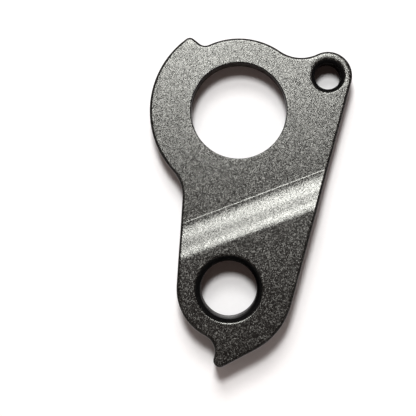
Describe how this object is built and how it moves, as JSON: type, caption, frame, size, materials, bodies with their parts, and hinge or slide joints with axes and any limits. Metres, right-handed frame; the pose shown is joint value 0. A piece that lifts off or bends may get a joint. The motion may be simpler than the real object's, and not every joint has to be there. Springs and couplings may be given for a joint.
{
  "type": "bicycle derailleur hanger",
  "caption": "Flat milled hanger plate: a ring round the wheel axle, an ear with a threaded fixing hole, and a raised pad with a threaded hole and stop tooth for the rear derailleur.",
  "frame": {"origin": "centre of the axle bore at the back face", "axes": "+Z along the axle, out of the ring and pad faces; +Y from the derailleur thread up to the axle; +X towards the ear"},
  "size_m": [0.0327, 0.0531, 0.0071],
  "materials": {
    "hanger": "bead-blasted and black anodised"
  },
  "bodies": {
    "root": {"hanger": "hanger"}
  },
  "joints": []
}
